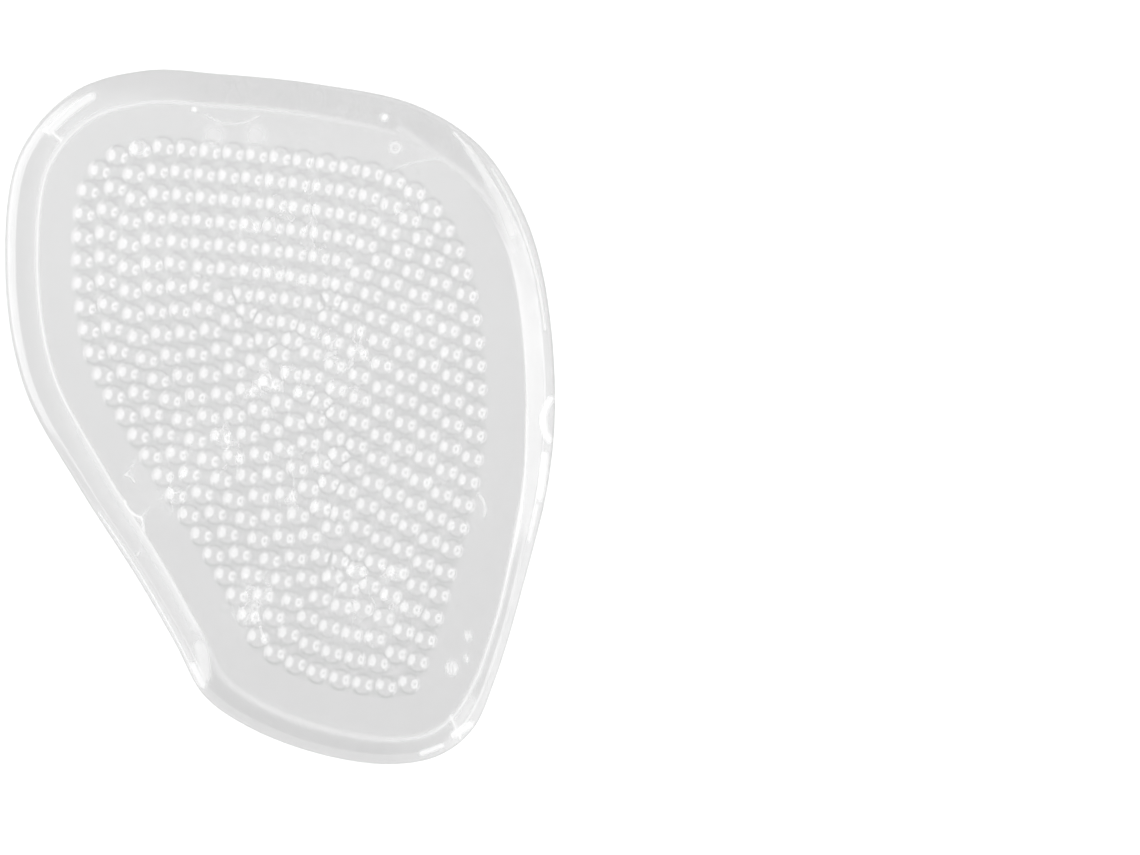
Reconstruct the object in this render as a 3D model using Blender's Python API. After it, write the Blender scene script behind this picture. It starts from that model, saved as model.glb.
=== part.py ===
"""A clear gel metatarsal pad: one cast slab of soft gel that lies under the ball of the foot.

The toe end points along +Y, the sole's tacky face lies on Z = 0 and the massage nubs stand up along +Z.
Lengths are in metres. Run it with blender --background --python part.py.
"""

import itertools
import math

import bmesh
import bpy
import numpy as np
from mathutils import Matrix, Vector

# Driving dimensions of the slab
PAD_WIDTH = 0.0700
PAD_LENGTH = 0.0885
SLAB_HEIGHT = 0.0026
CROWN_RISE = 0.0006
RIM_WIDTH = 0.0038
LIP_HEIGHT = 0.0010
LIP_ROUND = 0.0005
SOLE_ROUND = 0.0003

# Driving dimensions of the massage nubs
NUB_DIAMETER = 0.0026
NUB_HEIGHT = 0.00055
NUB_ROOT = 0.0007
NUB_GAP = 0.0004
ROW_GAP = 0.00036
LEAST_NUB_GAP = 0.0001
PLAIN_BORDER = 0.00865

# The clear gel's colour and finish
GEL_COLOUR = (0.86, 0.87, 0.88, 1.0)
GEL_ROUGHNESS = 0.06
GEL_METALLIC = 0.0
GEL_CLEARNESS = 0.9
GEL_IOR = 1.42

# Every second row of nubs is turned by this share of its spacing
ROW_SHIFT = 0.5

# Fineness of the faceted solid
CURVE_STEPS = 10
RIM_SIDES = 96
CROWN_SIDES = 24
CROWN_SHARE = 0.55
ROW_STEPS = 720
NUB_SIDES = 6
NUB_RINGS = 6
SEARCH_STEPS = 40
SEARCH_ZOOM = 4
SEARCH_END = 0.00001
HALVINGS = 40
SHARP_ANGLE = math.radians(50)

# The rim's slope from the lip to the crease. Depths are shares of the rim's width, and rises are shares
# of the height from the lip to the crease.
RIM_SLOPE = (
    # depth, rise
    (0.13, 0.03),
    (0.55, 0.62),
    (1.00, 1.00),
)

# The outline, counter-clockwise from the right side. Each knot is a share of the pad's width across
# and of its length along, measured from the middle of the pad's box.
OUTLINE = (
    # across, along
    (0.500, 0.050),
    (0.476, 0.215),
    (0.434, 0.309),
    (0.361, 0.393),
    (0.245, 0.450),
    (0.064, 0.480),
    (-0.110, 0.494),
    (-0.245, 0.499),
    (-0.378, 0.467),
    (-0.475, 0.377),
    (-0.500, 0.210),
    (-0.466, 0.044),
    (-0.370, -0.096),
    (-0.262, -0.230),
    (-0.192, -0.325),
    (-0.140, -0.400),
    (-0.059, -0.446),
    (0.070, -0.485),
    (0.200, -0.500),
    (0.290, -0.487),
    (0.350, -0.450),
    (0.390, -0.380),
    (0.445, -0.235),
    (0.490, -0.085),
)


def curve_through(before, start, end, after, step):
    """Returns a point between start and end on the smooth curve that also passes before and after."""
    knots = [0.0]
    for first, second in ((before, start), (start, end), (end, after)):
        knots.append(knots[-1] + math.sqrt(np.linalg.norm(second - first)))
    t0, t1, t2, t3 = knots
    t = t1 + (t2 - t1) * step / CURVE_STEPS

    def between(point_a, time_a, point_b, time_b):
        return ((time_b - t) * point_a + (t - time_a) * point_b) / (time_b - time_a)

    first = between(before, t0, start, t1)
    middle = between(start, t1, end, t2)
    last = between(end, t2, after, t3)
    return between(between(first, t0, middle, t2), t1, between(middle, t1, last, t3), t2)


def outline_points():
    """Returns the pad's outline as points on a closed smooth curve, fitted to its width and length."""
    knots = np.array(OUTLINE) * (PAD_WIDTH, PAD_LENGTH)
    count = len(knots)
    points = np.array(
        [
            curve_through(knots[i - 1], knots[i], knots[(i + 1) % count], knots[(i + 2) % count], step)
            for i in range(count)
            for step in range(CURVE_STEPS)
        ]
    )
    low, high = points.min(axis=0), points.max(axis=0)
    return (points - (low + high) / 2) * (PAD_WIDTH, PAD_LENGTH) / (high - low)


def depths_inside(points, outline):
    """Returns how far each point lies inside the outline, negative outside it."""
    starts, ends = outline, np.roll(outline, -1, axis=0)
    runs = ends - starts
    offsets = points[:, None, :] - starts[None, :, :]
    shares = (offsets * runs).sum(axis=2) / (runs**2).sum(axis=1)
    nearest = offsets - np.clip(shares, 0, 1)[:, :, None] * runs
    distances = np.sqrt((nearest**2).sum(axis=2)).min(axis=1)
    above = (starts[:, 1] > points[:, None, 1]) != (ends[:, 1] > points[:, None, 1])
    rises = np.where(runs[:, 1] == 0, 1.0, runs[:, 1])
    crossing = starts[:, 0] + runs[:, 0] * (points[:, None, 1] - starts[:, 1]) / rises
    inside = (above & (points[:, None, 0] < crossing)).sum(axis=1) % 2 == 1
    return np.where(inside, distances, -distances)


def deepest_point(outline):
    """Returns the point farthest inside the outline, found on a grid that closes in on it."""
    centre = np.zeros(2)
    reach = np.array((PAD_WIDTH, PAD_LENGTH)) / 2
    while reach.max() > SEARCH_END:
        shares = np.linspace(-1, 1, SEARCH_STEPS + 1)
        grid = np.array([(x, y) for x in shares for y in shares]) * reach + centre
        centre = grid[depths_inside(grid, outline).argmax()]
        reach = reach / SEARCH_ZOOM
    return centre


def level_curve(outline, heart, depth, angles):
    """Returns the points that lie at one depth inside the outline, one in each direction from its heart."""
    directions = np.stack((np.cos(angles), np.sin(angles)), axis=1)
    near = np.zeros(len(angles))
    far = np.full(len(angles), PAD_WIDTH + PAD_LENGTH)
    for _ in range(HALVINGS):
        middle = (near + far) / 2
        deeper = depths_inside(heart + directions * middle[:, None], outline) > depth
        near = np.where(deeper, middle, near)
        far = np.where(deeper, far, middle)
    return heart + directions * ((near + far) / 2)[:, None]


def length_of(line):
    """Returns the length of a line of points."""
    return np.linalg.norm(np.diff(line, axis=0), axis=1).sum()


def spaced_along(line, shares):
    """Returns the points of a line at the given shares of its length."""
    lengths = np.concatenate(([0.0], np.cumsum(np.linalg.norm(np.diff(line, axis=0), axis=1))))
    return np.stack([np.interp(shares * lengths[-1], lengths, line[:, axis]) for axis in (0, 1)], axis=1)


def rim_profile():
    """Returns the rim's section from the sole to the crease, as depth inside the outline and height."""
    bevel = LIP_ROUND * (1 - math.sqrt(0.5))
    lip = (
        (SOLE_ROUND, 0.0),
        (0.0, SOLE_ROUND),
        (0.0, LIP_HEIGHT - LIP_ROUND),
        (bevel, LIP_HEIGHT - bevel),
    )
    rise = SLAB_HEIGHT - LIP_HEIGHT
    return lip + tuple((RIM_WIDTH * depth, LIP_HEIGHT + rise * share) for depth, share in RIM_SLOPE)


def smooth_mesh(name, bm):
    """Returns a smooth-shaded mesh made from the bmesh, which it frees."""
    mesh = bpy.data.meshes.new(name)
    bm.to_mesh(mesh)
    bm.free()
    mesh.shade_smooth()
    mesh.set_sharp_from_angle(angle=SHARP_ANGLE)
    return mesh


def add_ring(bm, points, height):
    """Adds a closed loop of edges at one height and returns the edges."""
    corners = [bm.verts.new((x, y, height)) for x, y in points]
    return [bm.edges.new((corners[i - 1], corners[i])) for i in range(len(corners))]


def crown_height(share):
    """Returns the slab's height where a point is this share of the way from its heart to the crease."""
    return SLAB_HEIGHT + CROWN_RISE * (1 - share**2)


def slab_mesh(outline, heart):
    """Returns the mesh of the slab without nubs: a flat sole, a sloped rim and a gently crowned top."""
    offsets = spaced_along(np.vstack((outline, outline[:1])), np.arange(RIM_SIDES) / RIM_SIDES) - heart
    angles = np.arctan2(offsets[:, 1], offsets[:, 0])
    bm = bmesh.new()
    rings = [add_ring(bm, level_curve(outline, heart, depth, angles), z) for depth, z in rim_profile()]
    for lower, upper in zip(rings, rings[1:]):
        bmesh.ops.bridge_loops(bm, edges=lower + upper)
    bmesh.ops.holes_fill(bm, edges=rings[0], sides=0)
    crease = level_curve(outline, heart, RIM_WIDTH, angles[:: RIM_SIDES // CROWN_SIDES])
    crown = add_ring(bm, heart + (crease - heart) * CROWN_SHARE, crown_height(CROWN_SHARE))
    bmesh.ops.bridge_loops(bm, edges=rings[-1] + crown)
    top = bmesh.ops.holes_fill(bm, edges=crown, sides=0)["faces"]
    peak = bmesh.ops.poke(bm, faces=top)["verts"][0]
    peak.co = Vector((heart[0], heart[1], crown_height(0)))
    bmesh.ops.recalc_face_normals(bm, faces=bm.faces)
    return smooth_mesh("gel_pad", bm)


def nub_centres(outline, heart):
    """Returns the middle of each nub. They stand in rows that follow the outline, one inside the other."""
    angles = np.linspace(0, 2 * math.pi, ROW_STEPS + 1)
    deepest = depths_inside(heart[None, :], outline)[0]
    depth = PLAIN_BORDER + NUB_DIAMETER / 2
    centres = []
    for shift in itertools.cycle((0.0, ROW_SHIFT)):
        if depth > deepest:
            break
        row = level_curve(outline, heart, depth, angles)
        nubs = max(1, round(length_of(row) / (NUB_DIAMETER + NUB_GAP)))
        for point in spaced_along(row, (np.arange(nubs) + shift) / nubs):
            if all(math.dist(point, other) >= NUB_DIAMETER + LEAST_NUB_GAP for other in centres):
                centres.append(point)
        depth += NUB_DIAMETER + ROW_GAP
    return np.array(centres)


def nubs_mesh(outline, heart):
    """Returns the mesh of the nubs: a flattened ball for each, sunk so that its cap stands out."""
    half_height = NUB_HEIGHT + NUB_ROOT
    half_width = NUB_DIAMETER / 2 / math.sqrt(1 - (NUB_ROOT / half_height) ** 2)
    shape = Matrix.Diagonal((half_width, half_width, half_height, 1.0))
    centres = nub_centres(outline, heart)
    offsets = centres - heart
    angles = np.arctan2(offsets[:, 1], offsets[:, 0])
    reaches = np.linalg.norm(level_curve(outline, heart, RIM_WIDTH, angles) - heart, axis=1)
    heights = crown_height(np.linalg.norm(offsets, axis=1) / reaches) - NUB_ROOT
    bm = bmesh.new()
    for (x, y), z in zip(centres, heights):
        place = Matrix.Translation((x, y, z)) @ shape
        bmesh.ops.create_uvsphere(
            bm, u_segments=NUB_SIDES, v_segments=NUB_RINGS, radius=1.0, matrix=place
        )
    return smooth_mesh("massage_nubs", bm)


def gel_material():
    """Returns the clear gel's material."""
    material = bpy.data.materials.new("clear_gel")
    material.use_nodes = True
    shader = material.node_tree.nodes["Principled BSDF"]
    shader.inputs["Base Color"].default_value = GEL_COLOUR
    shader.inputs["Roughness"].default_value = GEL_ROUGHNESS
    shader.inputs["Metallic"].default_value = GEL_METALLIC
    shader.inputs["Transmission Weight"].default_value = GEL_CLEARNESS
    shader.inputs["IOR"].default_value = GEL_IOR
    return material


def collection(name):
    """Returns a new collection in the scene."""
    made = bpy.data.collections.new(name)
    bpy.context.scene.collection.children.link(made)
    return made


def main():
    """Builds the pad: the slab, with the nubs joined to its top."""
    for obj in list(bpy.data.objects):
        bpy.data.objects.remove(obj, do_unlink=True)
    outline = outline_points()
    heart = deepest_point(outline)

    nubs = bpy.data.objects.new("massage_nubs", nubs_mesh(outline, heart))
    nubs.hide_render = True
    nubs.display_type = "WIRE"
    collection("joined_shapes").objects.link(nubs)

    pad = bpy.data.objects.new("gel_pad", slab_mesh(outline, heart))
    pad.data.materials.append(gel_material())
    collection("metatarsal_pad").objects.link(pad)
    join = pad.modifiers.new("join_nubs", "BOOLEAN")
    join.operation = "UNION"
    join.object = nubs


main()
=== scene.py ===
"""The looks of a clear gel metatarsal pad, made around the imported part.

The pad lies flat on its tacky sole with the nubs up, and the camera looks straight down on it.
Lengths are in metres, angles in degrees unless a name says otherwise.
"""

import itertools
import logging
import math
from dataclasses import dataclass, field
from enum import Enum

import bmesh
import bpy
import numpy as np
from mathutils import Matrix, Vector
from mathutils.geometry import delaunay_2d_cdt


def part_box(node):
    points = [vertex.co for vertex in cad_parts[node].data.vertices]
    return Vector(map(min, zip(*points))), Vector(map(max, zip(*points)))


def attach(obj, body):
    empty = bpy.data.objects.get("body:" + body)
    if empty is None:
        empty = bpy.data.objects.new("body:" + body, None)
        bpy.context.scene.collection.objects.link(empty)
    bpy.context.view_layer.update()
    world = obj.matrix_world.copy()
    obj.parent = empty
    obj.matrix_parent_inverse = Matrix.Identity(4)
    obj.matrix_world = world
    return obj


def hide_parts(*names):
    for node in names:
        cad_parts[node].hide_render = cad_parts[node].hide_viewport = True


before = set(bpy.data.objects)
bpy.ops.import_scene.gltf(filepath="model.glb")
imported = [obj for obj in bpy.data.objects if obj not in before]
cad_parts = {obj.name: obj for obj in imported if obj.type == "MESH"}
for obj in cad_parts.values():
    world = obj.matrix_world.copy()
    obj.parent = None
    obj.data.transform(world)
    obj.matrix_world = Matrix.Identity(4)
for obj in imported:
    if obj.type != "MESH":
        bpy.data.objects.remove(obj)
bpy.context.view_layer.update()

MILLIMETRE = 0.001

# The photograph's frame, and where the pad lies in it, in pixels
FRAME_WIDTH = 1140
FRAME_HEIGHT = 855
PAD_LEFT = 6
PAD_RIGHT = 555
PAD_MIDDLE_X = 280.5
PAD_MIDDLE_Y = 417.0

# The outline, counter-clockwise from the right side. Each knot is a share of the pad's width across
# and of its length along, measured from the middle of the pad's box.
OUTLINE_KNOTS = (
    # across, along
    (0.500, 0.050),
    (0.476, 0.215),
    (0.434, 0.309),
    (0.361, 0.393),
    (0.245, 0.450),
    (0.064, 0.480),
    (-0.110, 0.494),
    (-0.245, 0.499),
    (-0.378, 0.467),
    (-0.475, 0.377),
    (-0.500, 0.210),
    (-0.466, 0.044),
    (-0.370, -0.096),
    (-0.262, -0.230),
    (-0.192, -0.325),
    (-0.140, -0.400),
    (-0.059, -0.446),
    (0.070, -0.485),
    (0.200, -0.500),
    (0.290, -0.487),
    (0.350, -0.450),
    (0.390, -0.380),
    (0.445, -0.235),
    (0.490, -0.085),
)

# How the rim's section changes on the way round. The turn is the direction from the pad's heart, 0 to the
# right and 90 to the toes. The shoulder is the share of the rim's width where the outer slope ends.
RIM_SECTIONS = (
    # turn, width in mm, inner slope, outer slope, shoulder
    (-78, 3.3, 6, 48, 0.45),
    (-67, 3.0, 5, 50, 0.45),
    (-61, 2.2, 5, 50, 0.42),
    (-52, 2.1, 5, 52, 0.42),
    (-45, 2.4, 6, 52, 0.42),
    (-33, 3.0, 14, 48, 0.40),
    (-20, 3.6, 17, 47, 0.36),
    (0, 3.7, 17, 46, 0.36),
    (20, 3.7, 17, 46, 0.36),
    (40, 4.5, 8, 44, 0.34),
    (60, 4.5, 4, 40, 0.40),
    (90, 4.1, 4, 30, 0.42),
    (130, 4.2, 4, 28, 0.34),
    (150, 4.2, 3, 27, 0.30),
    (200, 4.1, 3, 27, 0.30),
    (225, 3.9, 4, 50, 0.30),
    (262, 3.5, 4, 48, 0.42),
)

# Painted light and shade along the crease and the rim on the way round, by the same turns. The line is a
# painted highlight along the crease. The band is a painted highlight on the rim beside the crease, which
# fades toward the edge. The shade is painted shade, how much darker the rim is drawn.
CREASE_HIGHLIGHT_AND_SHADE = (
    # turn, half the line's width in mm, line, band, shade
    (-78, 0.45, 0.35, 0.00, 0.45),
    (-67, 0.30, 0.60, 0.30, 0.05),
    (-50, 0.26, 0.75, 0.12, 0.05),
    (-40, 0.34, 0.80, 0.12, 0.05),
    (-28, 0.24, 0.60, 0.10, 0.10),
    (0, 0.22, 0.30, 0.38, 0.05),
    (40, 0.30, 0.15, 0.00, 0.10),
    (60, 0.40, 0.28, 0.00, 0.15),
    (80, 0.46, 0.38, 0.04, 0.12),
    (110, 0.46, 0.42, 0.06, 0.12),
    (128, 0.42, 0.55, 0.50, 0.00),
    (140, 0.38, 0.60, 0.55, 0.00),
    (150, 0.34, 0.66, 0.34, 0.00),
    (192, 0.34, 0.66, 0.34, 0.00),
    (205, 0.26, 0.64, 0.55, 0.00),
    (251, 0.26, 0.66, 0.68, 0.00),
    (256, 0.45, 0.25, 0.02, 0.40),
    (265, 0.48, 0.36, 0.00, 0.45),
)

# Cloudy strokes on the skin, and painted highlights where marked below, charted from the photograph, in
# millimetres from the pad's middle. The bow is how far a stroke bulges to the left of its way. The strength
# is how white it is drawn, and a higher edge is a sharper one.
CLOUD_AND_HIGHLIGHT_STROKES = (
    # from x, from y, to x, to y, bow, width, strength, edge
    (15.2, 36.7, 20.1, 33.2, 0.00, 1.3, 0.32, 2),
    (15.5, 34.3, 19.6, 33.3, 0.00, 1.8, 0.25, 2),
    (19.8, 33.3, 29.8, 21.0, 1.60, 1.1, 0.38, 2),
    (14.5, 31.4, 20.3, 32.8, 0.35, 0.6, 0.42, 2),
    # The next four rows are painted highlights on the upper part of the right rim, the last a thin second line
    # outside them.
    (22.1, 36.3, 24.4, 33.7, 0.00, 0.5, 0.75, 4),
    (23.8, 34.3, 26.8, 29.5, 0.15, 1.1, 0.60, 6),
    (26.6, 29.8, 29.5, 23.3, 0.20, 1.5, 0.50, 4),
    (27.0, 31.5, 33.7, 11.1, 1.30, 0.4, 0.60, 4),
    # The next three rows are painted highlights along the right edge.
    (34.5, 2.3, 34.2, -2.9, -0.85, 1.0, 0.80, 4),
    (33.7, -4.8, 33.0, -10.3, 0.10, 1.1, 0.75, 4),
    (32.7, -11.2, 31.7, -15.7, 0.00, 0.6, 0.60, 4),
    # The next three rows are painted highlights at the top-left corner.
    (-29.0, 36.5, -23.9, 40.7, 0.25, 1.3, 0.75, 3),
    (-30.2, 38.4, -26.3, 41.3, 0.15, 0.4, 0.35, 4),
    (-29.9, 36.5, -27.7, 35.3, 0.00, 0.6, 0.80, 4),
    # The next four rows are painted highlights at the lower right.
    (22.6, -39.1, 24.5, -36.1, 0.00, 1.5, 0.45, 4),
    (22.2, -40.4, 24.2, -39.1, 0.00, 1.1, 0.80, 6),
    (21.6, -38.0, 22.9, -40.9, 0.00, 0.4, 0.80, 4),
    (18.0, -42.8, 20.6, -41.8, 0.00, 0.8, 0.80, 4),
    (-10.2, -29.2, -9.6, -33.0, 0.20, 2.0, 0.60, 4),
    (-11.0, -31.7, -9.8, -34.0, 0.00, 1.2, 0.70, 4),
    (-19.7, -10.5, -17.5, -12.8, -0.50, 0.4, 0.80, 4),
    (-17.5, -12.8, -17.3, -14.4, 0.00, 0.4, 0.80, 4),
    (-17.5, -12.6, -14.7, -9.8, 0.00, 0.3, 0.50, 2),
    (-18.2, -17.6, -16.6, -15.9, 0.00, 0.3, 0.55, 2),
    # The next row is a painted highlight along the outer part of the lower-left rim.
    (-23.0, -12.2, -11.3, -31.9, 0.50, 0.3, 0.60, 4),
    (-9.4, 38.4, -2.6, 38.3, -1.10, 0.5, 0.50, 2),
    (-18.3, -5.6, -18.4, -8.3, -0.57, 0.4, 0.55, 2),
    (25.3, -9.8, 25.8, -12.6, 0.50, 0.5, 0.60, 2),
    (-2.9, -23.1, -1.8, -28.4, -0.30, 0.4, 0.60, 2),
    (-4.0, -22.8, -4.3, -26.1, 0.35, 0.4, 0.45, 2),
)

# Round cloudy marks, specks and two painted lamp reflections, as the strokes are measured. A hollow one is a ring.
SPOTS_AND_REFLECTIONS = (
    # x, y, radius, strength, hollow
    # The next two rows are painted reflections of two round lamps in the flat border.
    (-8.3, 35.6, 1.91, 0.40, 0.0),
    (-3.0, 35.6, 1.91, 0.40, 0.0),
    (-10.8, 39.1, 0.38, 0.90, 0.0),
    (13.3, 38.1, 0.51, 0.90, 0.0),
    (14.7, 34.2, 0.89, 0.70, 0.7),
    (24.0, -27.8, 0.51, 0.80, 0.4),
    (23.8, -30.7, 0.38, 0.80, 0.0),
    (21.9, -31.9, 0.83, 0.80, 0.5),
    (3.5, -39.4, 0.38, 0.30, 0.0),
    (-10.4, -32.6, 0.38, 0.60, 0.0),
    (-17.9, 34.3, 1.28, 0.50, 0.6),
    (-19.4, -7.3, 0.38, 0.60, 0.0),
    (18.4, -42.5, 0.38, 0.60, 0.0),
)

# Where the gel looks laced with fine cloudy threads among the nubs, as the strokes are measured.
LACE_PATCHES = (
    # x, y, radius, strength
    (7.6, 6.6, 8.3, 0.60),
    (-0.7, 4.1, 6.4, 0.56),
    (-8.4, -4.2, 5.7, 0.60),
    (-14.1, -8.7, 4.5, 0.60),
    (2.5, 23.8, 15.3, 0.49),
    (-16.6, 21.3, 8.9, 0.34),
    (15.2, 27.7, 7.7, 0.45),
    (-2.0, -23.3, 4.6, 0.60),
    (11.4, -22.1, 7.7, 0.52),
    (17.8, -8.0, 8.9, 0.38),
    (2.5, -8.0, 9.6, 0.45),
    (17.8, 11.1, 8.9, 0.41),
)


@dataclass(frozen=True)
class PadOutline:
    """The pad's closed outline, seen from above.

    Attributes:
        width: The pad's size across.
        length: The pad's size from heel end to toe end.
        knots: Points on the outline, as shares of the width and length.
        steps: Points on the curve from one knot to the next.
    """

    width: float
    length: float
    knots: tuple = OUTLINE_KNOTS
    steps: int = 14

    def points(self) -> np.ndarray:
        """Finds the outline's points.

        Returns:
            The points of a smooth closed curve through the knots, counter-clockwise.
        """
        size = np.array((self.width, self.length))
        knots = np.array(self.knots) * size
        count = len(knots)
        points = np.array(
            [
                self._curve(*(knots[(i + k) % count] for k in (-1, 0, 1, 2)), step / self.steps)
                for i in range(count)
                for step in range(self.steps)
            ]
        )
        low, high = points.min(axis=0), points.max(axis=0)
        return (points - (low + high) / 2) * size / (high - low)

    @staticmethod
    def _curve(before: np.ndarray, start: np.ndarray, end: np.ndarray, after: np.ndarray, share: float) -> np.ndarray:
        """Finds a point between two knots.

        Args:
            before: The knot before the two.
            start: The first of the two.
            end: The second of the two.
            after: The knot after the two.
            share: How far the point is on the way from start to end.

        Returns:
            The point on the smooth curve.
        """
        knots = [0.0]
        for first, second in ((before, start), (start, end), (end, after)):
            knots.append(knots[-1] + math.sqrt(np.linalg.norm(second - first)))
        t0, t1, t2, t3 = knots
        t = t1 + (t2 - t1) * share

        def between(point_a: np.ndarray, a: float, point_b: np.ndarray, b: float) -> np.ndarray:
            """Mixes two points by where t lies from a to b."""
            return ((b - t) * point_a + (t - a) * point_b) / (b - a)

        first = between(before, t0, start, t1)
        middle = between(start, t1, end, t2)
        last = between(end, t2, after, t3)
        return between(between(first, t0, middle, t2), t1, between(middle, t1, last, t3), t2)


@dataclass
class PadPlan:
    """The pad seen from above: its outline, and how far inside it each place lies.

    Attributes:
        outline: The pad's outline.
        halvings: Steps in the search for a depth along a direction.
    """

    outline: PadOutline
    halvings: int = 10
    line: np.ndarray = field(init=False)
    heart: np.ndarray = field(init=False)

    def __post_init__(self) -> None:
        """Finds the outline's points and the deepest place inside them."""
        self.line = self.outline.points()
        self.heart = self._deepest()

    def depths(self, points: np.ndarray) -> np.ndarray:
        """Measures how far points lie inside the outline.

        Args:
            points: Places seen from above.

        Returns:
            The distance from each to the outline, negative outside it.
        """
        return np.concatenate([self._depths(part) for part in np.array_split(points, 1 + len(points) // 4000)])

    def _depths(self, points: np.ndarray) -> np.ndarray:
        """Measures one batch of points, as depths does."""
        starts, ends = self.line, np.roll(self.line, -1, axis=0)
        runs = ends - starts
        offsets = points[:, None, :] - starts[None, :, :]
        shares = (offsets * runs).sum(axis=2) / (runs**2).sum(axis=1)
        nearest = offsets - np.clip(shares, 0, 1)[:, :, None] * runs
        distances = np.sqrt((nearest**2).sum(axis=2)).min(axis=1)
        above = (starts[:, 1] > points[:, None, 1]) != (ends[:, 1] > points[:, None, 1])
        rises = np.where(runs[:, 1] == 0, 1.0, runs[:, 1])
        crossing = starts[:, 0] + runs[:, 0] * (points[:, None, 1] - starts[:, 1]) / rises
        inside = (above & (points[:, None, 0] < crossing)).sum(axis=1) % 2 == 1
        return np.where(inside, distances, -distances)

    def _deepest(self) -> np.ndarray:
        """Finds the place farthest inside the outline, on a grid that closes in on it."""
        centre = np.zeros(2)
        reach = np.abs(self.line).max(axis=0)
        while reach.max() > 0.01 * MILLIMETRE:
            shares = np.linspace(-1, 1, 41)
            grid = np.array([(x, y) for x in shares for y in shares]) * reach + centre
            centre = grid[self.depths(grid).argmax()]
            reach = reach / 4
        return centre

    def level(self, angles: np.ndarray, depth: float | np.ndarray) -> np.ndarray:
        """Finds the places at a depth inside the outline.

        Args:
            angles: Directions from the heart, in radians.
            depth: The depth, one for all or one for each direction.

        Returns:
            One place in each direction.
        """
        directions = np.stack((np.cos(angles), np.sin(angles)), axis=1)

        def excess(reach: np.ndarray) -> np.ndarray:
            """Measures how much deeper than asked the places at a reach lie."""
            return self.depths(self.heart + directions * reach[:, None]) - depth

        near, far = np.zeros(len(angles)), np.full(len(angles), self.outline.length)
        for _ in range(self.halvings):
            middle = (near + far) / 2
            deeper = excess(middle) > 0
            near = np.where(deeper, middle, near)
            far = np.where(deeper, far, middle)
        over, under = excess(near), excess(far)
        reach = near + (far - near) * over / np.where(over == under, 1.0, over - under)
        return self.heart + directions * reach[:, None]

    def turns(self, points: np.ndarray) -> np.ndarray:
        """Finds the direction of each point from the heart, in radians."""
        offsets = points - self.heart
        return np.arctan2(offsets[:, 1], offsets[:, 0])


def length_of(line: np.ndarray) -> float:
    """Measures the length of a line of points."""
    return float(np.linalg.norm(np.diff(line, axis=0), axis=1).sum())


def spaced_along(line: np.ndarray, shares: np.ndarray) -> np.ndarray:
    """Finds places along a line of points.

    Args:
        line: The line's points.
        shares: Shares of the line's length.

    Returns:
        The place at each share.
    """
    lengths = np.concatenate(([0.0], np.cumsum(np.linalg.norm(np.diff(line, axis=0), axis=1))))
    return np.stack([np.interp(shares * lengths[-1], lengths, line[:, axis]) for axis in (0, 1)], axis=1)


def bowed_line(start: np.ndarray, end: np.ndarray, bow: float) -> np.ndarray:
    """Draws a line that bulges in its middle.

    Args:
        start: Its first point.
        end: Its last point.
        bow: How far it bulges to the left of its way.

    Returns:
        Points along the line.
    """
    shares = np.linspace(0, 1, 13)[:, None]
    run = end - start
    left = np.array((-run[1], run[0])) / np.linalg.norm(run)
    return start + run * shares + left * bow * 4 * shares * (1 - shares)


def distance_to(points: np.ndarray, line: np.ndarray) -> np.ndarray:
    """Measures how far points lie from an open line.

    Args:
        points: Places seen from above.
        line: The line's points.

    Returns:
        The distance of each, or a metre where it is well away from the line.
    """
    reach = 3 * MILLIMETRE
    distances = np.ones(len(points))
    boxed = (points > line.min(axis=0) - reach) & (points < line.max(axis=0) + reach)
    near = np.flatnonzero(boxed.all(axis=1))
    for start, end in zip(line, line[1:]):
        run = end - start
        offsets = points[near] - start
        shares = np.clip(offsets @ run / max(run @ run, 1e-12), 0, 1)
        distances[near] = np.minimum(distances[near], np.linalg.norm(offsets - shares[:, None] * run, axis=1))
    return distances


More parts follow.
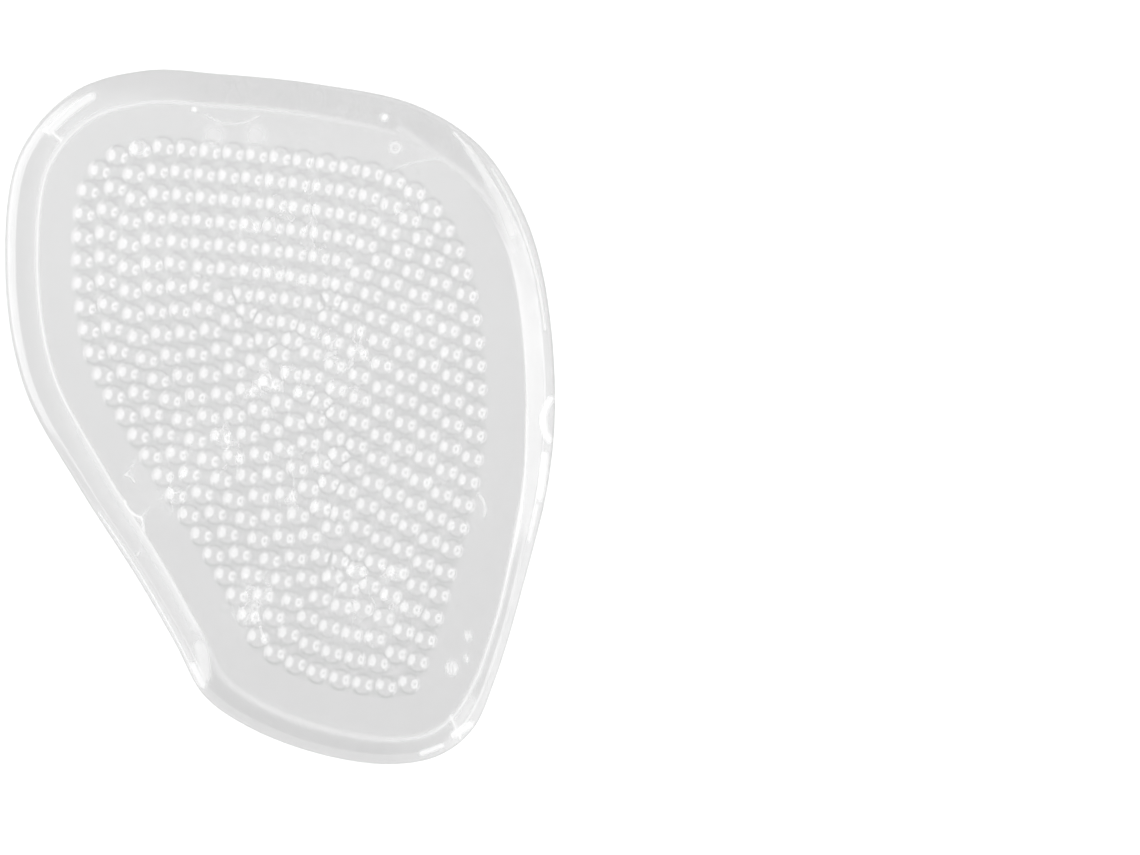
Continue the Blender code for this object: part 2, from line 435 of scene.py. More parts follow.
@dataclass(frozen=True)
class NubField:
    """The rows of massage nubs.

    Attributes:
        diameter: A nub's size across its foot.
        height: How far a nub stands out of the slab.
        fillet: Half the width of the soft fillet round a nub's foot.
        gap: The usual gap between two nubs in a row.
        row_gap: The gap between two rows.
        row_shift: The share of its spacing by which every second row is turned.
        least_gap: The least gap between two nubs where rows meet.
        border: The plain border's width, from the outline to the first row.
        rings: Rings of mesh on a nub, as shares of its foot's radius.
        room_steps: Steps to a nub's size in the search for room at the seams.
        seed: Start of the small differences from nub to nub.
    """

    diameter: float = 2.6 * MILLIMETRE
    height: float = 0.55 * MILLIMETRE
    fillet: float = 0.10 * MILLIMETRE
    gap: float = 0.40 * MILLIMETRE
    row_gap: float = 0.36 * MILLIMETRE
    row_shift: float = 0.5
    least_gap: float = -0.45 * MILLIMETRE
    border: float = 8.65 * MILLIMETRE
    rings: tuple = (0.0, 0.18, 0.36, 0.50, 0.62, 0.74, 0.86, 0.95, 1.03, 1.11)
    room_steps: int = 8
    seed: int = 7

    def centres(self, plan: PadPlan) -> np.ndarray:
        """Places the nubs in rows that follow the outline.

        Args:
            plan: The pad seen from above.

        Returns:
            The middle of each nub.
        """
        angles = np.linspace(0, 2 * math.pi, 721)
        deepest = plan.depths(plan.heart[None, :])[0]
        depth = self.border + self.diameter / 2
        centres: list[np.ndarray] = []
        for shift in itertools.cycle((0.0, self.row_shift)):
            if depth > deepest:
                break
            row = plan.level(angles, depth)
            nubs = max(1, round(length_of(row) / (self.diameter + self.gap)))
            for point in spaced_along(row, (np.arange(nubs) + shift) / nubs):
                if all(math.dist(point, other) >= self.diameter + self.least_gap for other in centres):
                    centres.append(point)
            depth += self.diameter + self.row_gap
        return self._filled(plan, np.array(centres))

    def _filled(self, plan: PadPlan, centres: np.ndarray) -> np.ndarray:
        """Adds a nub wherever the rows leave room for one at a seam.

        Args:
            plan: The pad seen from above.
            centres: The middle of each nub in the rows.

        Returns:
            The middle of each nub, the added ones last.
        """
        step = self.diameter / self.room_steps
        half = np.abs(plan.line).max(axis=0)
        columns, rows = (np.arange(-reach, reach, step) for reach in half)
        grid = np.array([(x, y) for x in columns for y in rows])
        grid = grid[plan.depths(grid) >= self.border + self.diameter / 2]
        room = np.array([np.linalg.norm(centres - place, axis=1).min() for place in grid])
        while room.max() >= self.diameter + self.least_gap:
            added = grid[room.argmax()]
            centres = np.vstack((centres, added))
            room = np.minimum(room, np.linalg.norm(grid - added, axis=1))
        return centres

    def mesh_points(self, centres: np.ndarray) -> np.ndarray:
        """Lays rings of mesh points on each nub.

        Args:
            centres: The middle of each nub.

        Returns:
            All the points, seen from above.
        """
        points = []
        for share in self.rings:
            sides = max(1, round(26 * min(1.0, share * 1.4)))
            turns = (np.arange(sides) + 0.5 * (self.rings.index(share) % 2)) * 2 * math.pi / sides
            ring = np.stack((np.cos(turns), np.sin(turns)), axis=1) * share * self.diameter / 2
            points.append((centres[:, None, :] + ring[None, :, :]).reshape(-1, 2))
        return np.concatenate(points)

    def rise(self, points: np.ndarray, centres: np.ndarray) -> np.ndarray:
        """Works out how far the nubs lift the slab's face.

        Args:
            points: Places seen from above.
            centres: The middle of each nub.

        Returns:
            The lift at each place.
        """
        draws = np.random.default_rng(self.seed)
        heights = self.height * (1 + 0.06 * draws.standard_normal(len(centres)).clip(-1.5, 1.5))
        lift = np.zeros(len(points))
        foot = self.diameter / 2
        for centre, height in zip(centres, heights):
            offsets = points - centre
            near = np.flatnonzero((np.abs(offsets) < foot + 2 * self.fillet).all(axis=1))
            distances = np.linalg.norm(offsets[near], axis=1)
            radius = (foot**2 + height**2) / (2 * height)
            cap = np.sqrt(np.maximum(radius**2 - distances**2, 0)) - (radius - height)
            soft = self.fillet * foot / radius
            lift[near] += (cap + np.sqrt(cap**2 + soft**2)) / 2
        return lift

    def foot_shade(self, points: np.ndarray, centres: np.ndarray) -> np.ndarray:
        """Works out the painted shade in the hollow round a nub's foot.

        Args:
            points: Places seen from above.
            centres: The middle of each nub.

        Returns:
            A share from 0 to 1 for each place.
        """
        shade = np.zeros(len(points))
        foot = self.diameter / 2
        for centre in centres:
            offsets = points - centre
            near = np.flatnonzero((np.abs(offsets) < 1.6 * foot).all(axis=1))
            share = np.linalg.norm(offsets[near], axis=1) / foot
            shade[near] = np.maximum(shade[near], np.exp(-(((share - 0.99) / 0.13) ** 2)))
        return shade


@dataclass(frozen=True)
class RimSection:
    """The rim's section, from the rounded lip at the edge up to the crease.

    Attributes:
        lip_round: Radius of the lip's rounded edge.
        sole_round: Radius of the sole's rounded edge.
        ridge: Height of the fine ridge along the crease.
        ridge_width: Half the ridge's width.
        bend_round: How softly the inner slope turns into the outer one.
        table: How the section changes on the way round.
    """

    lip_round: float = 0.35 * MILLIMETRE
    sole_round: float = 0.25 * MILLIMETRE
    ridge: float = 0.02 * MILLIMETRE
    ridge_width: float = 0.35 * MILLIMETRE
    bend_round: float = 0.13 * MILLIMETRE
    table: tuple = RIM_SECTIONS

    def at(self, turns: np.ndarray) -> tuple[np.ndarray, ...]:
        """Reads the section at each direction.

        Args:
            turns: Directions from the heart, in radians.

        Returns:
            The rim's width, inner slope, outer slope and shoulder, the slopes as rise over run.
        """
        rows = np.array(self.table, dtype=float)
        degrees = np.degrees(turns)
        columns = [np.interp(degrees, rows[:, 0], rows[:, k], period=360) for k in range(1, 5)]
        width, inner, outer, shoulder = columns
        return width * MILLIMETRE, np.tan(np.radians(inner)), np.tan(np.radians(outer)), shoulder

    def drop(self, share: float, turns: np.ndarray) -> np.ndarray:
        """Works out how far the rim's slope lies under the crease.

        Args:
            share: The share of the rim's width, from 0 at the edge to 1 at the crease.
            turns: Directions from the heart, in radians.

        Returns:
            The drop at each direction.
        """
        width, inner, outer, shoulder = self.at(turns)
        inward = (1 - share) * width
        flat = (1 - shoulder) * width
        past = inward - flat
        bend = (past + np.sqrt(past**2 + self.bend_round**2)) / 2
        return inner * inward + (outer - inner) * bend


@dataclass(frozen=True)
class CloudAndPaintedLight:
    """The cloudy lines, spots and threads in the clear skin, with painted highlights and painted shade.

    Attributes:
        crease: The painted highlight along the crease, the painted highlight on the rim beside it and the rim's
            painted shade, on the way round.
        strokes: The cloudy strokes, with the painted highlights drawn as strokes.
        spots: The round marks and specks, and two painted lamp reflections.
        patches: Where the gel is laced with cloudy threads.
        mist: How cloudy the gel is between the threads of the strongest patch.
    """

    crease: tuple = CREASE_HIGHLIGHT_AND_SHADE
    strokes: tuple = CLOUD_AND_HIGHLIGHT_STROKES
    spots: tuple = SPOTS_AND_REFLECTIONS
    patches: tuple = LACE_PATCHES
    mist: float = 0.18

    def cloud_and_highlight(self, points: np.ndarray, turns: np.ndarray, depths: np.ndarray, rim: np.ndarray) -> np.ndarray:
        """Works out how cloudy the skin is, painted highlights included.

        Args:
            points: Places seen from above.
            turns: The direction of each from the heart, in radians.
            depths: How far each lies inside the outline.
            rim: The rim's width at each.

        Returns:
            The cloudiness and painted highlight of each, from 0 to 1.
        """
        # Painted highlight: a white line along the crease, and a band on the rim beside it that fades toward the
        # edge.
        line_width, line, band, _ = self._crease_at(turns)
        inward = (depths - rim) / MILLIMETRE
        cloud_and_highlight = line * np.exp(-((inward / line_width) ** 2))
        share = np.clip(depths / rim, 0, 1)
        cloud_and_highlight = np.maximum(cloud_and_highlight, band * np.where(inward < 0, 0.6 * share + 0.4 * share**5, 0))
        across, along = (points / MILLIMETRE).T
        haze = 0.08 + 0.06 * np.clip(-across / 35, 0, 1) + 0.08 * np.clip(along / 40, -1, 1)
        haze = haze + self.mist * self.lace(points)
        cloud_and_highlight = np.maximum(cloud_and_highlight, haze.clip(0, 1) * (inward > 0))
        # Cloudy strokes, and painted highlights drawn as strokes.
        for from_x, from_y, to_x, to_y, bow, width, strength, edge in self.strokes:
            path = bowed_line(np.array((from_x, from_y)), np.array((to_x, to_y)), bow)
            near = distance_to(points, path * MILLIMETRE) / (width / 2 * MILLIMETRE)
            cloud_and_highlight = np.maximum(cloud_and_highlight, strength * np.exp(-(np.minimum(near, 9.0) ** edge)))
        # Round marks and specks, and two painted lamp reflections.
        for x, y, radius, strength, hollow in self.spots:
            away = np.linalg.norm(points - np.array((x, y)) * MILLIMETRE, axis=1) / (radius * MILLIMETRE)
            shape = 1 / (1 + np.exp(np.minimum((away - 1) * 7, 50))) - hollow * np.exp(-((away / 0.5) ** 2))
            cloud_and_highlight = np.maximum(cloud_and_highlight, strength * shape)
        return cloud_and_highlight

    def shade(self, turns: np.ndarray, depths: np.ndarray, rim: np.ndarray) -> np.ndarray:
        """Works out the rim's painted shade, how much darker it is drawn than the slab.

        Args:
            turns: The direction of each place from the heart, in radians.
            depths: How far each lies inside the outline.
            rim: The rim's width at each.

        Returns:
            The shade of each, from 0 to 1.
        """
        return self._crease_at(turns)[3] / (1 + np.exp(np.clip((depths - 0.85 * rim) / (0.05 * rim), -40, 40)))

    def _crease_at(self, turns: np.ndarray) -> list[np.ndarray]:
        """Reads the painted highlight line's half width, the line, the band and the painted shade at each direction.
        """
        rows = np.array(self.crease)
        return [np.interp(np.degrees(turns), rows[:, 0], rows[:, k], period=360) for k in (1, 2, 3, 4)]

    def lace(self, points: np.ndarray) -> np.ndarray:
        """Works out how strongly cloudy threads show.

        Args:
            points: Places seen from above.

        Returns:
            The threads' strength at each, from 0 to 1.
        """
        lace = np.zeros(len(points))
        for x, y, radius, strength in self.patches:
            away = np.linalg.norm(points - np.array((x, y)) * MILLIMETRE, axis=1) / (radius * MILLIMETRE)
            lace = np.maximum(lace, strength * np.exp(-(away**2)))
        return lace


@dataclass(frozen=True)
class ClearGel:
    """The clear, glossy gel.

    Attributes:
        tint: What the gel lets through.
        roughness: The face's roughness.
        ior: The gel's refraction.
        gloss: Strength of the face's wet-looking gloss.
        gloss_ior: The gloss's refraction.
        gloss_roughness: The gloss's roughness.
        painted_shade_tint: How much darker the tint is drawn where shade is painted: round a nub's foot, along the
            edge and on the rim.
        cloud_and_highlight_colour: The colour of the cloudy marks and the painted highlights.
        cloud_and_highlight_clearness: How clear the gel still is where its cloudiness and painted highlights are
            strongest.
        wave_scale: How closely the face's fine waves lie.
        wave_strength: How much the fine waves show.
        wave_height: The fine waves' height.
        thread_scale: How closely the threads lie.
        thread_width: How thick the threads are.
        thread_breaks: Where a thread starts to show and where it shows in full, as shares of the noise.
        thread_draw: How the threads are drawn out along the pad.
    """

    tint: tuple[float, float, float] = (0.685, 0.685, 0.687)
    roughness: float = 0.15
    ior: float = 1.42
    gloss: float = 1.0
    gloss_ior: float = 1.7
    gloss_roughness: float = 0.15
    painted_shade_tint: float = 0.66
    cloud_and_highlight_colour: tuple[float, float, float] = (0.95, 0.95, 0.95)
    cloud_and_highlight_clearness: float = 0.2
    wave_scale: float = 260.0
    wave_strength: float = 0.6
    wave_height: float = 0.06 * MILLIMETRE
    thread_scale: float = 430.0
    thread_width: float = 0.085
    thread_breaks: tuple[float, float] = (0.33, 0.56)
    thread_draw: tuple[float, float, float] = (1.0, 0.6, 1.0)

    def material(self) -> bpy.types.Material:
        """Makes the gel's material.

        Returns:
            A clear material whose roughness changes softly over the face.
        """
        material = bpy.data.materials.new("clear_gel_finish")
        material.use_nodes = True
        nodes, links = material.node_tree.nodes, material.node_tree.links
        shader = nodes["Principled BSDF"]
        shader.inputs["IOR"].default_value = self.ior
        shader.inputs["Coat Weight"].default_value = self.gloss
        shader.inputs["Coat IOR"].default_value = self.gloss_ior
        shader.inputs["Coat Roughness"].default_value = self.gloss_roughness

        place = nodes.new("ShaderNodeTexCoord")
        grain = nodes.new("ShaderNodeTexNoise")
        grain.inputs["Scale"].default_value = 220.0
        grain.inputs["Detail"].default_value = 3.0
        spread = nodes.new("ShaderNodeMapRange")
        spread.inputs["To Min"].default_value = self.roughness * 0.6
        spread.inputs["To Max"].default_value = self.roughness * 1.6
        links.new(place.outputs["Object"], grain.inputs["Vector"])
        links.new(grain.outputs["Fac"], spread.inputs["Value"])
        links.new(spread.outputs["Result"], shader.inputs["Roughness"])

        waves = nodes.new("ShaderNodeTexNoise")
        waves.inputs["Scale"].default_value = self.wave_scale
        waves.inputs["Detail"].default_value = 2.0
        bump = nodes.new("ShaderNodeBump")
        bump.inputs["Strength"].default_value = self.wave_strength
        bump.inputs["Distance"].default_value = self.wave_height
        links.new(place.outputs["Object"], waves.inputs["Vector"])
        links.new(waves.outputs["Fac"], bump.inputs["Height"])
        links.new(bump.outputs["Normal"], shader.inputs["Normal"])

        # The cloudy marks and painted highlights whiten the gel and make it less clear.
        cloud_and_highlight_share = self._cloud_highlight_and_threads(nodes, links, place)
        clear = nodes.new("ShaderNodeMapRange")
        clear.inputs["To Min"].default_value = 1.0
        clear.inputs["To Max"].default_value = self.cloud_and_highlight_clearness
        links.new(cloud_and_highlight_share, clear.inputs["Value"])
        links.new(clear.outputs["Result"], shader.inputs["Transmission Weight"])

        # Painted shade darkens the tint round the nubs' feet, along the edge and on the rim.
        shade = nodes.new("ShaderNodeAttribute")
        shade.attribute_name = "painted_shade"
        shaded = nodes.new("ShaderNodeMix")
        shaded.data_type = "RGBA"
        shaded.inputs["A"].default_value = (*self.tint, 1.0)
        shaded.inputs["B"].default_value = (*(part * self.painted_shade_tint for part in self.tint), 1.0)
        whitened = nodes.new("ShaderNodeMix")
        whitened.data_type = "RGBA"
        whitened.inputs["B"].default_value = (*self.cloud_and_highlight_colour, 1.0)
        links.new(shade.outputs["Fac"], shaded.inputs["Factor"])
        links.new(shaded.outputs["Result"], whitened.inputs["A"])
        links.new(cloud_and_highlight_share, whitened.inputs["Factor"])
        links.new(whitened.outputs["Result"], shader.inputs["Base Color"])
        return material

    def _cloud_highlight_and_threads(
        self, nodes: bpy.types.Nodes, links: bpy.types.NodeLinks, place: bpy.types.Node
    ) -> bpy.types.NodeSocket:
        """Joins the cloudy marks and painted highlights with fine, broken threads.

        Args:
            nodes: The material's nodes.
            links: The material's links.
            place: The node that tells the place on the pad.

        Returns:
            The socket that tells how cloudy the skin is and how strong its painted highlights are.
        """
        drawn = nodes.new("ShaderNodeMapping")
        drawn.inputs["Scale"].default_value = self.thread_draw
        threads = nodes.new("ShaderNodeTexNoise")
        threads.inputs["Scale"].default_value = self.thread_scale
        threads.inputs["Distortion"].default_value = 0.5
        bare = nodes.new("ShaderNodeMath")
        bare.operation = "SUBTRACT"
        bare.inputs[1].default_value = 0.5
        beside = nodes.new("ShaderNodeMath")
        beside.operation = "ABSOLUTE"
        thread = nodes.new("ShaderNodeMapRange")
        thread.interpolation_type = "SMOOTHSTEP"
        thread.inputs["From Max"].default_value = self.thread_width
        thread.inputs["To Min"].default_value = 1.0
        thread.inputs["To Max"].default_value = 0.0
        breaks = nodes.new("ShaderNodeTexNoise")
        breaks.inputs["Scale"].default_value = self.thread_scale * 0.8
        broken = nodes.new("ShaderNodeMapRange")
        broken.inputs["From Min"].default_value = self.thread_breaks[0]
        broken.inputs["From Max"].default_value = self.thread_breaks[1]
        links.new(place.outputs["Object"], drawn.inputs["Vector"])
        links.new(drawn.outputs["Vector"], threads.inputs["Vector"])
        links.new(threads.outputs["Fac"], bare.inputs[0])
        links.new(bare.outputs["Value"], beside.inputs[0])
        links.new(beside.outputs["Value"], thread.inputs["Value"])
        links.new(place.outputs["Object"], breaks.inputs["Vector"])
        links.new(breaks.outputs["Fac"], broken.inputs["Value"])
        strength = nodes.new("ShaderNodeAttribute")
        strength.attribute_name = "lace"
        marks = nodes.new("ShaderNodeAttribute")
        marks.attribute_name = "cloud_and_highlight"
        socket = strength.outputs["Fac"]
        for other in (thread.outputs["Result"], broken.outputs["Result"]):
            product = nodes.new("ShaderNodeMath")
            product.operation = "MULTIPLY"
            links.new(socket, product.inputs[0])
            links.new(other, product.inputs[1])
            socket = product.outputs["Value"]
        both = nodes.new("ShaderNodeMath")
        both.operation = "MAXIMUM"
        links.new(socket, both.inputs[0])
        links.new(marks.outputs["Fac"], both.inputs[1])
        return both.outputs["Value"]


@dataclass(frozen=True)
class StudioWhite:
    """The matt white of the studio floor.

    Attributes:
        colour: How much light the floor sends back.
        roughness: The floor's roughness.
    """

    colour: tuple[float, float, float] = (0.88, 0.88, 0.88)
    roughness: float = 0.9

    def material(self) -> bpy.types.Material:
        """Makes the floor's material."""
        material = bpy.data.materials.new("studio_white")
        material.use_nodes = True
        shader = material.node_tree.nodes["Principled BSDF"]
        shader.inputs["Base Color"].default_value = (*self.colour, 1.0)
        shader.inputs["Roughness"].default_value = self.roughness
        shader.inputs["Specular IOR Level"].default_value = 0.0
        return material


@dataclass
class GelPad:
    """The pad of clear gel: slab, rim, plain border and nubs in one skin.

    Attributes:
        plan: The pad seen from above.
        nubs: The rows of nubs.
        rim: The rim's section.
        marks: The cloudy marks, painted highlights and painted shade in the skin.
        gel: The gel's finish.
        crease_height: Height of the slab at the crease.
        crown_rise: How much higher the slab is at its heart.
        painted_edge_shade: Width of the thin grey line of painted shade along the edge.
        sides: Points round each ring of the rim.
    """

    plan: PadPlan
    nubs: NubField
    rim: RimSection
    marks: CloudAndPaintedLight
    gel: ClearGel
    crease_height: float = 2.6 * MILLIMETRE
    crown_rise: float = 0.6 * MILLIMETRE
    painted_edge_shade: float = 0.20 * MILLIMETRE
    sides: int = 600

    def crown(self, points: np.ndarray) -> np.ndarray:
        """Works out the slab's height inside the crease, without nubs."""
        turns = self.plan.turns(points)
        order = np.argsort(self.turns)
        reaches = np.linalg.norm(self.crease - self.plan.heart, axis=1)
        reach = np.interp(turns, self.turns[order], reaches[order], period=2 * math.pi)
        share = np.linalg.norm(points - self.plan.heart, axis=1) / reach
        return self.crease_height + self.crown_rise * (1 - share**2)

    def rings(self) -> list[tuple[np.ndarray, np.ndarray]]:
        """Works out the rings of the skin from the sole's edge to the plain border's inner edge.

        Returns:
            The places and heights of each ring.
        """
        rim = self.rim
        width = rim.at(self.turns)[0]
        deepest = self.crease_height - rim.sole_round - rim.lip_round
        lessened = np.minimum(1.0, deepest / rim.drop(0.0, self.turns))
        edge = self.crease_height - rim.drop(0.0, self.turns) * lessened - rim.lip_round
        rings = []
        for angle in np.radians((0, 30, 60, 90)):
            depth = rim.sole_round * (1 - math.sin(angle))
            height = rim.sole_round * (1 - math.cos(angle))
            rings.append((self.plan.level(self.turns, depth), np.full(self.sides, height)))
        for angle in np.radians((0, 22, 45, 67)):
            depth = rim.lip_round * (1 - math.cos(angle))
            rings.append((self.plan.level(self.turns, depth), edge + rim.lip_round * math.sin(angle)))
        for share in np.linspace(0.10, 1.0, 25):
            height = self.crease_height - rim.drop(share, self.turns) * lessened
            height += rim.ridge * np.exp(-(((1 - share) * width / rim.ridge_width) ** 2))
            rings.append((self.plan.level(self.turns, share * width), height))
        border = self.nubs.border - 2.5 * self.nubs.fillet
        for share in np.linspace(0, 1, 18)[1:] ** 1.3:
            depth = width + (border - width) * share
            places = self.plan.level(self.turns, depth)
            height = self.crown(places) + rim.ridge * np.exp(-(((depth - width) / rim.ridge_width) ** 2))
            rings.append((places, height))
        return rings

    def build(self) -> bpy.types.Object:
        """Builds the pad's skin and dresses it.

        Returns:
            The pad.
        """
        outline = np.vstack((self.plan.line, self.plan.line[:1]))
        edge = spaced_along(outline, np.arange(self.sides) / self.sides)
        self.turns = self.plan.turns(edge)
        self.crease = self.plan.level(self.turns, self.rim.at(self.turns)[0])
        rings = self.rings()
        bm = bmesh.new()
        loops = [
            [bm.verts.new((x, y, z)) for (x, y), z in zip(places, heights)] for places, heights in rings
        ]
        for lower, upper in zip(loops, loops[1:]):
            for i in range(self.sides):
                bm.faces.new((lower[i - 1], lower[i], upper[i], upper[i - 1]))
        centres = self.nubs.centres(self.plan)
        logging.info("nubs: %d", len(centres))
        self._fill(bm, loops[-1], self._top_points(centres), lambda p: self.crown(p) + self.nubs.rise(p, centres))
        self._fill(bm, loops[0], self._grid(2.5 * MILLIMETRE, 1.0 * MILLIMETRE), lambda p: np.zeros(len(p)), True)
        bmesh.ops.recalc_face_normals(bm, faces=bm.faces)
        mesh = bpy.data.meshes.new("gel_skin")
        bm.to_mesh(mesh)
        bm.free()
        mesh.shade_smooth()
        self._mark(mesh, centres)
        pad = bpy.data.objects.new("gel_skin", mesh)
        bpy.context.scene.collection.objects.link(pad)
        mesh.materials.append(self.gel.material())
        return pad

    def _mark(self, mesh: bpy.types.Mesh, centres: np.ndarray) -> None:
        """Writes the cloudy marks and painted highlights, and the painted shade round the nubs' feet, along the edge
        and on the rim, to the skin.

        Args:
            mesh: The skin.
            centres: The middle of each nub.
        """
        places = np.empty(len(mesh.vertices) * 3)
        mesh.vertices.foreach_get("co", places)
        places = places.reshape(-1, 3)
        flat, top = places[:, :2], places[:, 2] > self.rim.sole_round
        turns, depths = self.plan.turns(flat), self.plan.depths(flat)
        rim = self.rim.at(turns)[0]
        cloud_and_highlight = self.marks.cloud_and_highlight(flat, turns, depths, rim)
        # Painted shade: the rim's darker band and a thin grey line along the edge.
        edge = np.maximum(self.marks.shade(turns, depths, rim), np.exp(-((depths / self.painted_edge_shade) ** 2)))
        painted_shade = np.maximum(self.nubs.foot_shade(flat, centres), edge)
        for name, values in (("cloud_and_highlight", cloud_and_highlight), ("painted_shade", painted_shade), ("lace", self.marks.lace(flat))):
            shares = (values * top).clip(0, 1)
            mesh.attributes.new(name, "FLOAT", "POINT").data.foreach_set("value", shares)

    def _grid(self, spacing: float, margin: float) -> np.ndarray:
        """Lays a grid of points inside the outline, in staggered rows."""
        half = np.abs(self.plan.line).max(axis=0)
        rows = np.arange(-half[1], half[1], spacing * math.sqrt(0.75))
        columns = np.arange(-half[0], half[0], spacing)
        grid = np.array([(x + spacing / 2 * (j % 2), y) for j, y in enumerate(rows) for x in columns])
        return grid[self.plan.depths(grid) > margin]

    def _top_points(self, centres: np.ndarray) -> np.ndarray:
        """Lays the mesh points of the nubs and of the face between them."""
        loose = self._grid(0.9 * MILLIMETRE, self.nubs.border - self.nubs.fillet)
        nearest = np.full(len(loose), 1.0)
        for centre in centres:
            nearest = np.minimum(nearest, np.linalg.norm(loose - centre, axis=1))
        loose = loose[nearest > self.nubs.diameter / 2 * 1.25]
        return np.concatenate((self.nubs.mesh_points(centres), loose))

    @staticmethod
    def _fill(bm: bmesh.types.BMesh, loop: list, inner: np.ndarray, height, flip: bool = False) -> None:
        """Fills a loop with triangles through the given points.

        Args:
            bm: The skin.
            loop: The loop's corners, in order.
            inner: Points inside the loop, seen from above.
            height: Works out the height of such points.
            flip: True to turn the faces over.
        """
        flat = [Vector(v.co[:2]) for v in loop] + [Vector(p) for p in inner]
        count = len(loop)
        edges = [(i, (i + 1) % count) for i in range(count)]
        _, _, faces, sources, _, _ = delaunay_2d_cdt(flat, edges, [], 1, 1e-7)
        corners = list(loop) + [bm.verts.new((x, y, z)) for (x, y), z in zip(inner, height(inner))]
        for face in faces:
            picked = [corners[sources[i][0]] for i in (reversed(face) if flip else face)]
            bm.faces.new(picked)


class Softbox(Enum):
    """The studio's two soft lights, each by its direction round the pad and its middle's brightness."""

    LEFT = (167.0, 1.0)
    RIGHT = (-13.0, 0.25)

    @property
    def turn(self) -> float:
        """The direction in which the light stands."""
        return self.value[0]

    @property
    def middle(self) -> float:
        """How bright the light's middle is, as a share of its face's brightness."""
        return self.value[1]


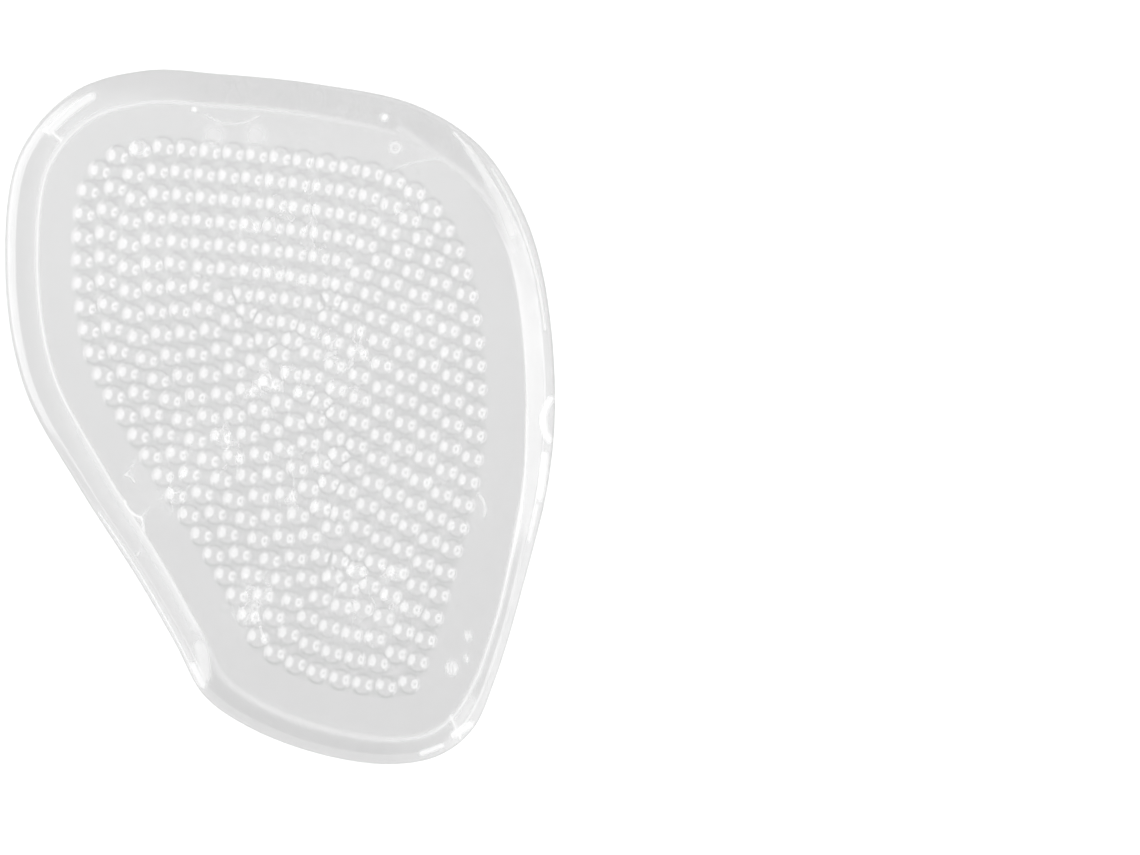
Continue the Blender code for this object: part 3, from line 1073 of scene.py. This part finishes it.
@dataclass(frozen=True)
class Studio:
    """The white floor, the lights round the pad and the camera above it.

    Attributes:
        floor_gap: How far the floor lies under the sole.
        floor_size: The floor's size.
        sky: Brightness of the even light straight above.
        horizon: Brightness of the even light at the horizon.
        elevation: How high the strip lights stand.
        distance: How far away the strip lights are.
        light_width: The strip lights' size up and down.
        light_length: The strip lights' size sideways.
        brightness: How bright the strip lights' faces are.
        hub: Radius of the dim middle of the right light, as a share of its size.
        fade: Where the lights' faces start to fade toward their edges, as such a share.
        camera_height: How high the camera is.
        sensor: Width of the camera's sensor, in millimetres.
    """

    floor_gap: float = 0.15 * MILLIMETRE
    floor_size: float = 4.0
    sky: float = 0.52
    horizon: float = 0.65
    elevation: float = 38.0
    distance: float = 0.8
    light_width: float = 1.16
    light_length: float = 1.34
    brightness: float = 2.0
    hub: float = 0.13
    fade: float = 0.34
    camera_height: float = 0.8
    sensor: float = 36.0

    def floor(self) -> bpy.types.Object:
        """Builds the floor."""
        bm = bmesh.new()
        bmesh.ops.create_grid(bm, x_segments=1, y_segments=1, size=self.floor_size / 2)
        mesh = bpy.data.meshes.new("studio_floor")
        bm.to_mesh(mesh)
        bm.free()
        floor = bpy.data.objects.new("studio_floor", mesh)
        floor.location.z = -self.floor_gap
        bpy.context.scene.collection.objects.link(floor)
        mesh.materials.append(StudioWhite().material())
        return floor

    def lights(self) -> None:
        """Puts up the even light and the two strip lights."""
        world = bpy.data.worlds.new("studio_sky")
        world.use_nodes = True
        nodes, links = world.node_tree.nodes, world.node_tree.links
        background = nodes["Background"]
        background.inputs["Color"].default_value = (1.0, 1.0, 1.0, 1.0)
        place = nodes.new("ShaderNodeTexCoord")
        parts = nodes.new("ShaderNodeSeparateXYZ")
        fade = nodes.new("ShaderNodeMapRange")
        fade.inputs["To Min"].default_value = self.horizon
        fade.inputs["To Max"].default_value = self.sky
        links.new(place.outputs["Generated"], parts.inputs["Vector"])
        links.new(parts.outputs["Z"], fade.inputs["Value"])
        links.new(fade.outputs["Result"], background.inputs["Strength"])
        bpy.context.scene.world = world
        area = math.pi / 4 * self.light_width * self.light_length
        for box in Softbox:
            lamp = bpy.data.lights.new("strip_" + box.name.lower(), "AREA")
            lamp.shape = "ELLIPSE"
            lamp.size = self.light_length
            lamp.size_y = self.light_width
            lamp.energy = self.brightness * math.pi * area
            self._shade_face(lamp, box.middle)
            light = bpy.data.objects.new(lamp.name, lamp)
            turn, rise = math.radians(box.turn), math.radians(self.elevation)
            away = Vector((math.cos(turn) * math.cos(rise), math.sin(turn) * math.cos(rise), math.sin(rise)))
            light.location = away * self.distance
            light.rotation_euler = away.to_track_quat("Z", "Y").to_euler()
            bpy.context.scene.collection.objects.link(light)

    def _shade_face(self, lamp: bpy.types.Light, middle: float) -> None:
        """Fades a light's face toward its edge, and dims its middle.

        Args:
            lamp: The light.
            middle: How bright the middle is, as a share of the face's brightness.
        """
        lamp.use_nodes = True
        nodes, links = lamp.node_tree.nodes, lamp.node_tree.links
        face = nodes.new("ShaderNodeNewGeometry")
        from_middle = nodes.new("ShaderNodeVectorMath")
        from_middle.operation = "DISTANCE"
        from_middle.inputs[1].default_value = (0.5, 0.5, 0.0)
        glow = nodes.new("ShaderNodeValToRGB")
        steps = ((0.0, middle), (self.hub - 0.03, middle), (self.hub + 0.03, 1.0), (self.fade, 1.0), (0.5, 0.0))
        while len(glow.color_ramp.elements) < len(steps):
            glow.color_ramp.elements.new(0.5)
        for element, (place, bright) in zip(glow.color_ramp.elements, steps):
            element.position = place
            element.color = (bright, bright, bright, 1.0)
        links.new(face.outputs["Parametric"], from_middle.inputs[0])
        links.new(from_middle.outputs["Value"], glow.inputs["Fac"])
        links.new(glow.outputs["Color"], nodes["Emission"].inputs["Strength"])

    def camera(self, pad_width: float) -> None:
        """Puts the camera above the pad so that it lies in the frame as in the photograph.

        Args:
            pad_width: The pad's size across.
        """
        pixel = pad_width / (PAD_RIGHT - PAD_LEFT)
        data = bpy.data.cameras.new("overhead")
        data.sensor_width = self.sensor
        data.lens = self.sensor * self.camera_height / (FRAME_WIDTH * pixel)
        camera = bpy.data.objects.new("overhead", data)
        camera.location = (
            (FRAME_WIDTH / 2 - PAD_MIDDLE_X) * pixel,
            -(FRAME_HEIGHT / 2 - PAD_MIDDLE_Y) * pixel,
            self.camera_height,
        )
        bpy.context.scene.collection.objects.link(camera)
        bpy.context.scene.camera = camera


def main() -> None:
    """Builds the pad and the studio round it."""
    logging.basicConfig(level=logging.INFO, format="%(message)s")
    low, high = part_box("gel_pad")
    plan = PadPlan(PadOutline(high[0] - low[0], high[1] - low[1]))
    pad = GelPad(plan, NubField(), RimSection(), CloudAndPaintedLight(), ClearGel()).build()
    pad.visible_shadow = False
    pad.visible_diffuse = False
    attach(pad, "root")
    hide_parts("gel_pad")
    logging.info("gel skin: %d faces, heart at %s", len(pad.data.polygons), plan.heart)

    studio = Studio()
    studio.floor()
    studio.lights()
    studio.camera(plan.outline.width)
    scene = bpy.context.scene
    scene.view_settings.view_transform = "Standard"
    logging.info("studio: floor, even light, two strip lights and the camera")


if __name__ == "__main__":
    main()
